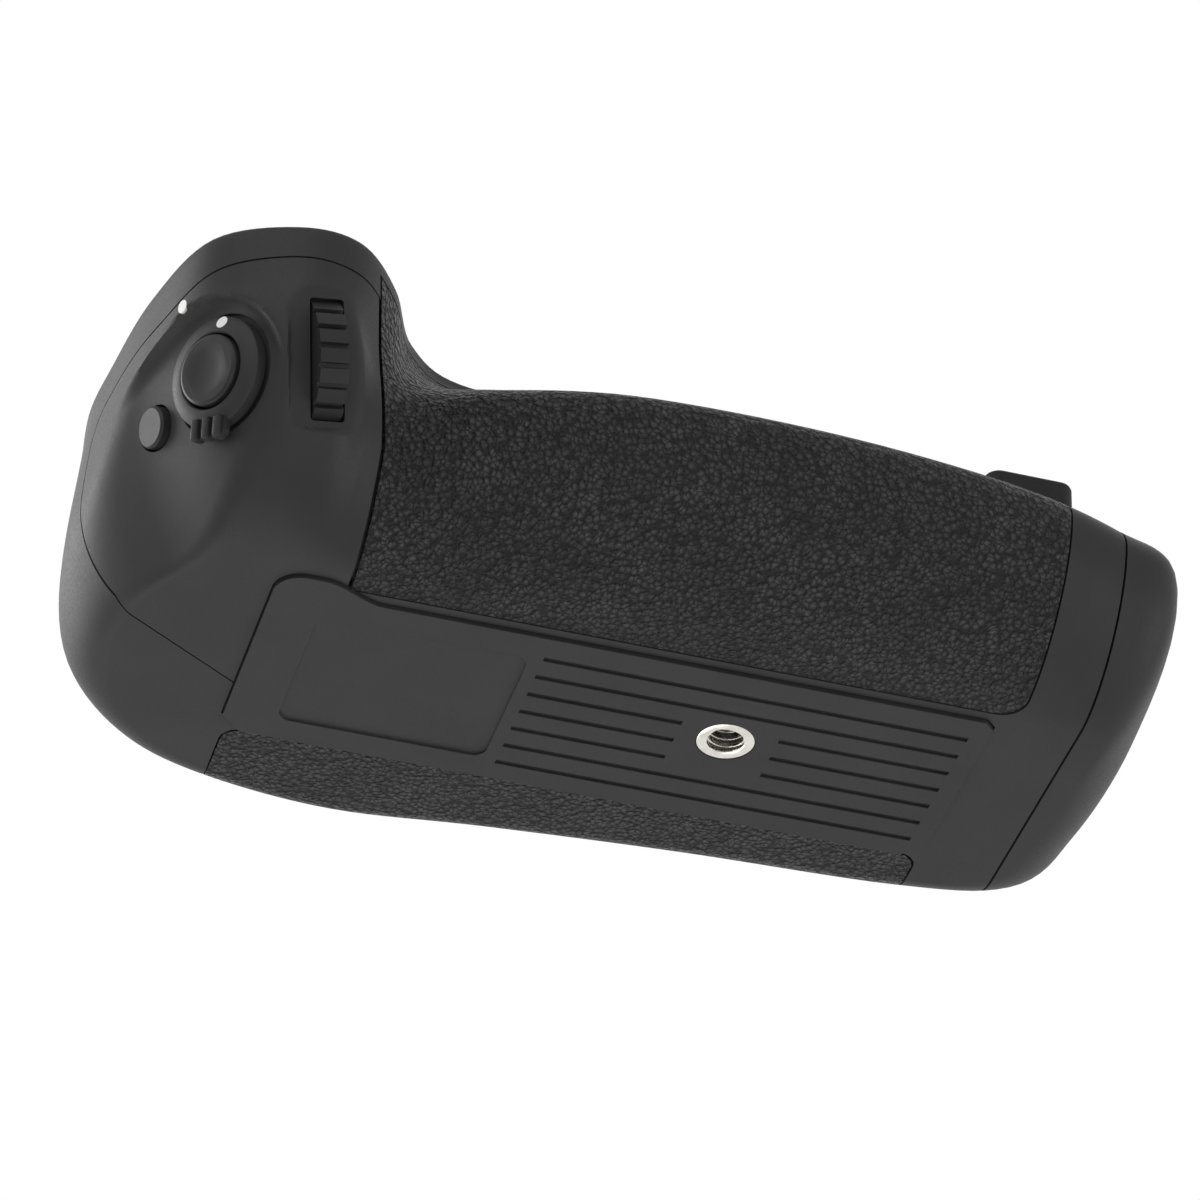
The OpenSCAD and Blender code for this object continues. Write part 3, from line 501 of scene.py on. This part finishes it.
# Body pieces: frames that stand a flat outline up, then the seams of the cover, the rubbers and the plate
SIDEWAYS = Matrix(((0, 0, 1, 0), (1, 0, 0, 0), (0, 1, 0, 0), (0, 0, 0, 1)))
FRONTWAYS = Matrix(((1, 0, 0, 0), (0, 0, -1, 0), (0, 1, 0, 0), (0, 0, 0, 1)))
HEAD_X, HEAD_LEAN, LEAN_Z = -58.5, 0.15, 12
COVER_Y, COVER_SIDE_Z, COVER_TOP_Z, COVER_R = -4, 31.1, 32.6, 5
COVER_RISE_Y, COVER_RISE, COVER_LEFT, COVER_SLANT = -28, 15, 88, 0.64
FRONT_RUBBER_X, FRONT_RUBBER_END, FRONT_RUBBER_Y, FRONT_RUBBER_R = -64, 37.6, -17, 4
REAR_RUBBER_X, REAR_RUBBER_END, REAR_RUBBER_Y, REAR_RUBBER_TOP, REAR_RUBBER_R = -67.5, 34.7, 18.9, 15, 3
PLATE_RIGHT, PLATE_REAR, PLATE_FRONT, PLATE_LEFT = 34.6, 18.6, -15.4, -68.3
HUMP_Y, HUMP_X, HUMP_RUN, HUMP_R, REAR_CUT, FRONT_CUT = -18.6, -62, 9, 4, 3, 1.5
BELOW = -2


def arc(x, y, r, start, stop):
    """Points on a round corner, in steps of nine degrees."""
    return [(x + r * math.cos(math.radians(a)), y + r * math.sin(math.radians(a)))
            for a in range(start, stop + 1, 9)]


def ease(t):
    """Smooth step from 0 to 1."""
    return 3 * t * t - 2 * t ** 3


def head_front(edge):
    """Everything to the left of the line where the leather meets the head."""
    x = HEAD_X - edge
    outline = [(-FAR, BELOW), (x, BELOW), (x, LEAN_Z), (x - HEAD_LEAN * (FAR - LEAN_Z), FAR), (-FAR, FAR)]
    return prism("head_front", outline, -FAR, FAR, FRONTWAYS)


def head_block(edge):
    """Space that the head's cover takes, in from its seam by edge: side, plan and front outlines crossed."""
    y, side_z, top_z, r = COVER_Y - edge, COVER_SIDE_Z - edge, COVER_TOP_Z - edge, COVER_R - edge
    side = [(-FAR, BELOW), (FAR, BELOW), (FAR, side_z - r)] + arc(y - r, side_z - r, r, 0, 90)
    side += [(COVER_RISE_Y - COVER_RISE * t, side_z + (top_z - side_z) * ease(t))
             for t in spread(0, 1, 16) + [1]]
    plan = [(-FAR, -FAR), (0, -FAR), (0, y + COVER_SLANT * COVER_LEFT), (-COVER_LEFT, y), (-FAR, y)]
    made = prism("head_space", side + [(-FAR, top_z)], -FAR, 0, SIDEWAYS)
    carve(made, prism("head_plan", plan, BELOW, FAR), "INTERSECT")
    return carve(made, head_front(edge), "INTERSECT")


def upright(corners):
    """Picks the upright edges of a box whose middles pass a test."""
    return lambda mid, way: abs(way.z) > 1 and corners(mid)


def front_rubber_block(edge):
    """Space that the front rubber takes, in from its seam by edge."""
    low = (FRONT_RUBBER_X + edge, -FAR, -1)
    high = (FRONT_RUBBER_END - edge, FRONT_RUBBER_Y - edge, LEDGE_Z - 0.4 - edge)
    return block("front_rubber_space", low, high, None, upright(lambda mid: mid.y > -FAR / 2), FRONT_RUBBER_R)


def rear_rubber_block(edge):
    """Space that the rear rubber takes, in from its seam by edge."""
    low = (REAR_RUBBER_X + edge, REAR_RUBBER_Y + edge, -1)
    high = (REAR_RUBBER_END - edge, FAR, REAR_RUBBER_TOP - edge)
    return block("rear_rubber_space", low, high, None, upright(lambda mid: mid.y < FAR / 2), REAR_RUBBER_R)


def plate_outline(edge):
    """Outline of the bottom plate, grown by edge: corners cut or rounded, with the hump at the head."""
    right, left, rear = PLATE_RIGHT + edge, PLATE_LEFT - edge, PLATE_REAR + edge
    front, hump, r = PLATE_FRONT - edge, HUMP_Y - edge, HUMP_R + edge
    points = [(right, rear - REAR_CUT), (right - REAR_CUT, rear)]
    points += [(left + REAR_CUT, rear), (left, rear - REAR_CUT)]
    points += arc(left + r, hump + r, r, 180, 270)
    points += [(HUMP_X + HUMP_RUN * t, hump + (front - hump) * ease(t)) for t in spread(0, 1, 12) + [1]]
    return points + [(right - FRONT_CUT, front), (right, front + FRONT_CUT)]


def deck_outline(inset, count=192):
    """Outline of the deck's edge, drawn in by inset."""
    made = []
    for i in range(count):
        u = i * ROWS / count
        r, out = body_row(u), outward(u, 1)
        made.append((r[4] - inset * out.x, r[5] - inset * out.y))
    return made


# Places round and up the body at which its skins are drawn, closest at the head
EVEN, LOOSE = spread(0, ROWS, 8 * ROWS), spread(0, ROWS, 4 * ROWS)
HEAD_ROWS = spread(0, 6, 24) + spread(6, 15, 9 * 24) + spread(15, ROWS, 36)
FINE, HEAD_FINE, COARSE = levels(26, 14, 4), levels(84, 30, 4), levels(6, 5, 1)


def cavity():
    """The room inside the body's wall."""
    return loft("cavity", LOOSE, COARSE, WALL)


def rubber_floor():
    """What lies under the rubbers."""
    return loft("rubber_floor", EVEN, FINE, RUBBER_T)


def plate_space():
    """Room for the bottom plate."""
    return prism("plate_space", plate_outline(FIT), -1, PLATE_T)


def past(x):
    """Everything to the right of x."""
    return block("right_end", (x, -FAR, -FAR), (FAR, FAR, FAR))


def turned(axis_x=0.0, axis_y=0.0, at=(0, 0, 0)):
    """Frame at a place, turned about X and Y in degrees."""
    return (Matrix.Translation(at) @ Matrix.Rotation(math.radians(axis_x), 4, "X")
            @ Matrix.Rotation(math.radians(axis_y), 4, "Y"))


# Rear controls: their height, where their holes start, and their places and sizes
CONTROL_Z, HOLE_Y, HOLE_L = 23, 26, 14
FOCUS_X, FOCUS_R = -55, 3.6
SELECTOR_X, SELECTOR_HOLE_R, SELECTOR_DISH_R, SELECTOR_DISH_Y = -38, 4.4, 6.8, 35.4
WHEEL_AT, WHEEL_R, WHEEL_LOW, WHEEL_HIGH = (26, 18.5), 14.3, 33.6, 35.7
REAR_DIAL = turned(axis_y=90, at=(-69, 24.4, CONTROL_Z))
FRONT_DIAL = DIAL @ turned(axis_x=90, at=(0, 0, -DIAL_IN))
# Tray end: where the cap and the chamber's end wall start, the tray's mouth, and the latch's hole and seat
CAP_X, END_WALL_X = 46.3, 43.8
MOUTH_LOW, MOUTH_HIGH = (42.8, -21.6, 7.4), (FAR, 22.4, 29.3)
CHAMBER_LOW, OPENING_INSET, SOCKET_HOLE_R = 11.8, 3, 4.2
KNOB_AT = turned(axis_y=90, at=(0, 2, 19))
KNOB_R, KNOB_SEAT_X, SHAFT_HOLE_R, SHAFT_X, KNOB_END = 9.7, 56.05, 3.05, 50, 80


def dial_slot(at):
    """Round slot that a dial turns in."""
    return drum("dial_slot", DIAL_R + GAP, -DIAL_W / 2 - GAP, DIAL_W / 2 + GAP, at)


def rear_hole(name, radius, x, y=HOLE_Y, length=HOLE_L):
    """Round hole that runs to the rear from a place in the rear wall."""
    return drum(name, radius, 0, length, turned(axis_x=-90, at=(x, y, CONTROL_Z)))


def rear_openings():
    """Slots and holes of the rear wall: dial, attachment wheel, focus button and selector."""
    wheel_at = Matrix.Translation((*WHEEL_AT, 0))
    return [dial_slot(REAR_DIAL),
            drum("wheel_slot", WHEEL_R + GAP, WHEEL_LOW - GAP, WHEEL_HIGH + GAP, wheel_at),
            rear_hole("focus_hole", FOCUS_R + GAP, FOCUS_X),
            rear_hole("selector_hole", SELECTOR_HOLE_R, SELECTOR_X),
            rear_hole("selector_dish", SELECTOR_DISH_R, SELECTOR_X, SELECTOR_DISH_Y, 5)]


shell = loft("main_shell_skin", EVEN, FINE)
carve_all(shell, carve(cavity(), past(END_WALL_X)), head_block(0), past(CAP_X),
          carve(carve(front_rubber_block(0), head_front(0)), rubber_floor()),
          carve(rear_rubber_block(0), rubber_floor()),
          plate_space(),
          prism("deck_space", deck_outline(RIM_W - 0.15), LEDGE_Z, FAR),
          prism("deck_opening", deck_outline(RIM_W + OPENING_INSET), CHAMBER_LOW, FAR),
          block("tray_mouth", MOUTH_LOW, MOUTH_HIGH),
          drum("socket_hole", SOCKET_HOLE_R, -1, 6), *rear_openings())
place(smooth(shell), "grip", "shell", SHELL, "main_shell")

# Head cover: hollow behind the facet and the dial, with the holes of its controls
SEAT_ROOM, SEAT_DEPTH, HOLE_DEPTH = 0.75, 1.4, 6
head = loft("head_cover_skin", HEAD_ROWS, HEAD_FINE, form=head_form)
carve(head, head_block(SEAM), "INTERSECT")
hollow = cavity()
facet_centre = FACET @ Matrix.Translation((0, 0, -FACET_BOW))
carve(hollow, ball("facet_back", FACET_BOW - FACET_T, facet_centre), "INTERSECT")
carve(hollow, block("dial_back", (-11, -6.6, -4.2), (11, 6.6, FAR), DIAL))
carve_all(head, hollow, plate_space(),
          drum("collar_seat", COLLAR_R + SEAT_ROOM, -SEAT_DEPTH, HOLE_DEPTH, FACET),
          drum("collar_hole", SLEEVE_R + 0.05, -HOLE_DEPTH, HOLE_DEPTH, FACET),
          drum("function_hole", FUNCTION_R + GAP, -HOLE_DEPTH, HOLE_DEPTH, FUNCTION),
          block("dial_opening", (-8.4, -DIAL_W / 2 - GAP, -5.2), (8.4, DIAL_W / 2 + GAP, FAR), DIAL,
                upright(lambda mid: True), 0.5),
          dial_slot(FRONT_DIAL))
place(smooth(head), "grip", "shell", SHELL, "head_cover")


def grip_rubber(name, space, node):
    """Rubber skin in its pocket, with its back against the shell."""
    piece = carve(loft(name, EVEN, FINE), rubber_floor())
    carve(piece, space, "INTERSECT")
    return place(smooth(piece, 40), "grip", "grip_rubber", LEATHER, node)


grip_rubber("front_grip_skin", carve(front_rubber_block(SEAM), head_front(-SEAM)), "front_grip_rubber")
grip_rubber("rear_grip_skin", rear_rubber_block(SEAM), "rear_grip_rubber")

cap = carve(loft("tray_cap_skin", EVEN, FINE), past(CAP_X + GAP), "INTERSECT")
carve_all(cap, cavity(), drum("knob_seat", KNOB_R + GAP, KNOB_SEAT_X, KNOB_END, KNOB_AT),
          drum("shaft_hole", SHAFT_HOLE_R, SHAFT_X, KNOB_END, KNOB_AT))
place(smooth(cap), "tray", "shell", SHELL, "tray_cap")

# Solids whose shape is right, with their edges eased
for node, body, slot, material, radius in [
        ("top_deck", "grip", "shell", SHELL, 0.25),
        ("bottom_plate", "grip", "shell", SHELL, 0.22),
        ("tripod_socket", "grip", "nickel", NICKEL, 0.3),
        ("chamber_sleeve", "grip", "steel", STEEL, 0.15),
        ("connector_post", "grip", "black_plastic", INNER, 0.3),
        ("contact_cap", "cap", "grip_rubber", CAP_RUBBER, 0.7),
        ("locating_pins", "grip", "nickel", NICKEL, 0.6),
        ("deck_screws", "grip", "steel", STEEL, 0.15),
        ("shutter_button", "shutter", "black_plastic", BUTTON, 0.45),
        ("function_button", "function", "black_plastic", BUTTON, 0.4),
        ("focus_button", "focus", "black_plastic", BUTTON, 0.5),
        ("selector_pad", "selector_pad", "black_plastic", BUTTON, 0.5),
        ("attachment_wheel", "wheel", "black_plastic", INNER, 0.15),
        ("camera_screw", "screw", "nickel", NICKEL, 0.15),
        ("battery_tray", "tray", "black_plastic", INNER, 0.4),
        ("latch_knob", "latch", "black_plastic", BUTTON, 0.4),
        ("latch_lug", "latch", "steel", STEEL, 0.2)]:
    eased_copy(node, body, slot, material, radius)

# Threads of the socket and the screw
for name, groove in [
        ("tripod_socket_finished", thread_groove("socket_groove", 3.15, 2.2, -0.8, 6)),
        ("camera_screw_finished", thread_groove("screw_groove", 2.6, 3.55, DECK_H + 0.9, 5))]:
    smooth(carve(scene.objects[name], groove), 30)

# Solids shown as they are
for node, material in [
        ("chamber_contacts", GOLD), ("tray_contacts", GOLD), ("connector_pins", GOLD),
        ("main_board", BOARD), ("control_board", BOARD), ("rear_board", BOARD),
        ("shutter_switch", INNER), ("function_switch", INNER), ("focus_switch", INNER),
        ("selector_base", INNER), ("selector_rocker", STEEL), ("collar_clip", STEEL),
        ("front_dial_axle", STEEL), ("rear_dial_axle", STEEL), ("gear_axles", STEEL),
        ("idler_gear", STEEL), ("latch_striker", STEEL)]:
    paint(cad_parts[node], material)

# Dials: square-cut blocks round the rim, with angles in degrees from a block's middle
BLOCKS, BLOCK_HALF, NOTCH_START, NOTCH_END = 24, 5.2, 5.7, 9.3
NOTCH_R, DIAL_BORE = 9.8, 1.25


def dial(node, at):
    """Control dial about a local axis."""
    rim = [(-BLOCK_HALF, DIAL_R), (0, DIAL_R), (BLOCK_HALF, DIAL_R)]
    rim += [(NOTCH_START, NOTCH_R), (NOTCH_END, NOTCH_R)]
    turns = [(math.radians(i * 360 / BLOCKS + a), r) for i in range(BLOCKS) for a, r in rim]
    outline = [(r * math.cos(a), r * math.sin(a)) for a, r in turns]
    piece = prism(node + "_finished", outline, -DIAL_W / 2, DIAL_W / 2, at)
    carve(piece, drum("bore", DIAL_BORE, -DIAL_W, DIAL_W, at))
    return place(smooth(piece, 30), node, "black_plastic", BUTTON, node)


dial("front_dial", FRONT_DIAL)
dial("rear_dial", REAR_DIAL)

# Lock collar: a ring that slopes out to its edge, on its sleeve, with a ribbed finger tab
collar = turned_ring("lock_collar_ring", [
    (COLLAR_BORE, -3.6), (SLEEVE_R, -3.6), (SLEEVE_R, -0.75), (COLLAR_R, -0.75), (COLLAR_R, 0.75),
    (7.6, 1.05), (5.95, 1.62), (5.55, 1.66), (COLLAR_BORE, 1.5)], FACET)
TAB = FACET @ Matrix.Rotation(math.radians(-14.6), 4, "Z")
carve(collar, block("collar_tab", (6.9, -3, 0.2), (9.4, 3, 1.35), TAB,
                    lambda mid, way: abs(way.z) > 0.5 and mid.x > 8, 0.9), "UNION")
for across in (-2, 0, 2):
    carve(collar, block("collar_rib", (6.6, across - 0.6, 0.4), (9.7, across + 0.6, 2.2), TAB,
                        lambda mid, way: mid.z > 2 or (mid.x > 9 and abs(way.z) > 1), 0.45), "UNION")
place(smooth(collar), "collar", "shell", SHELL, "lock_collar")


# White print: index dots on the collar's slope and on the head beside it
def facing(way):
    """Turn that points +Z along a direction."""
    return Vector(way).to_track_quat("Z", "Y").to_matrix().to_4x4()


slope = math.degrees(math.atan2(0.57, 1.65))
dot_turn = FACET @ Matrix.Rotation(math.radians(155.6), 4, "Z")
dot_at = dot_turn @ Matrix.Translation((6.85, 0, 1.31)) @ turned(axis_y=slope)
place(smooth(drum("collar_dot", 0.9, -0.1, 0.03, dot_at, sides=40)), "collar", "shell", WHITE)
dot_at = Matrix.Translation((-87.2, -33.33, 30.17)) @ facing((-0.907, -0.397, -0.137))
place(smooth(drum("head_dot", 0.95, -0.3, 0.06, dot_at, sides=40)), "grip", "shell", WHITE)

# Stage: white room, soft light, camera at the photograph's angle
world = bpy.data.worlds.new("white_room")
scene.world = world
world.use_nodes = True
tree = world.node_tree
tree.nodes.clear()
rays = add(tree, "ShaderNodeLightPath")
seen = rays.outputs["Is Camera Ray"]
for kind in ("Is Glossy Ray", "Is Transmission Ray"):
    seen = add(tree, "ShaderNodeMath", {0: seen, 1: rays.outputs[kind]}, operation="MAXIMUM").outputs[0]
strength = add(tree, "ShaderNodeMapRange", {"Value": seen, "To Min": 0.22, "To Max": 1.0}).outputs[0]
sky = add(tree, "ShaderNodeBackground", {"Color": (1, 1, 1, 1), "Strength": strength})
add(tree, "ShaderNodeOutputWorld", {"Surface": sky.outputs[0]})

# Floor: shown to the camera from above only, since the photograph looks up from below it
bm = bmesh.new()
bmesh.ops.create_grid(bm, x_segments=1, y_segments=1, size=900)
floor = new_piece("floor", bm)
floor_paint = bpy.data.materials.new("pale_floor")
floor_paint.use_nodes = True
tree = floor_paint.node_tree
tree.nodes.clear()
rays = add(tree, "ShaderNodeLightPath").outputs["Is Camera Ray"]
under = add(tree, "ShaderNodeNewGeometry").outputs["Backfacing"]
shown = add(tree, "ShaderNodeMath", {0: rays, 1: under}, operation="SUBTRACT", use_clamp=True).outputs[0]
PALE = linear("#f4f4f2")
lit = add(tree, "ShaderNodeBsdfDiffuse", {"Color": PALE}).outputs[0]
glow = add(tree, "ShaderNodeEmission", {"Color": PALE, "Strength": 0.35}).outputs[0]
pale = add(tree, "ShaderNodeAddShader", {0: lit, 1: glow}).outputs[0]
clear = add(tree, "ShaderNodeBsdfTransparent").outputs[0]
mixed = add(tree, "ShaderNodeMixShader", {0: shown, 1: clear, 2: pale}).outputs[0]
add(tree, "ShaderNodeOutputMaterial", {"Surface": mixed})
paint(floor, floor_paint)

# Camera: its angles, and its place to the right of, above and back from the origin
AZIMUTH, ELEVATION, ROLL = (math.radians(a) for a in (-14.8, -37.1, 1.91))
CAMERA_RIGHT, CAMERA_UP, CAMERA_BACK = -17.47, 19.8, 835.8
reach = math.cos(ELEVATION)
back = Vector((math.sin(AZIMUTH) * reach, -math.cos(AZIMUTH) * reach, math.sin(ELEVATION)))
level = Vector((math.cos(AZIMUTH), math.sin(AZIMUTH), 0))
over = back.cross(level)
right = level * math.cos(ROLL) + over * math.sin(ROLL)
up = over * math.cos(ROLL) - level * math.sin(ROLL)
view = Matrix((right, up, back)).transposed().to_4x4()
camera = bpy.data.objects.new("camera", bpy.data.cameras.new("camera"))
camera.data.sensor_width, camera.data.lens = 36, 180
camera.data.clip_start, camera.data.clip_end = 0.01, 20
stand = right * CAMERA_RIGHT + up * CAMERA_UP + back * CAMERA_BACK
camera.matrix_world = Matrix.Translation(stand * MM) @ view
scene.collection.objects.link(camera)
scene.camera = camera


def soft_light(name, at, watts, size):
    """Large square lamp that faces the object; at is in the camera's right, up and back, in metres."""
    lamp = bpy.data.lights.new(name, "AREA")
    lamp.energy, lamp.shape, lamp.size = watts, "SQUARE", size
    made = bpy.data.objects.new(name, lamp)
    spot = right * at[0] + up * at[1] + back * at[2]
    made.matrix_world = Matrix.Translation(spot) @ facing(spot)
    scene.collection.objects.link(made)


soft_light("key_softbox", (-0.25, 0.75, 0.35), 2.4, 0.7)
soft_light("front_fill", (0.1, 0.0, 1.1), 2.4, 0.9)
soft_light("left_rim", (-0.8, 0.05, -0.4), 5.4, 0.6)
soft_light("right_fill", (0.9, -0.2, 0.3), 3.2, 0.6)
soft_light("low_fill", (-0.4, -0.8, 0.25), 3.8, 0.7)

scene.view_settings.view_transform = "Standard"
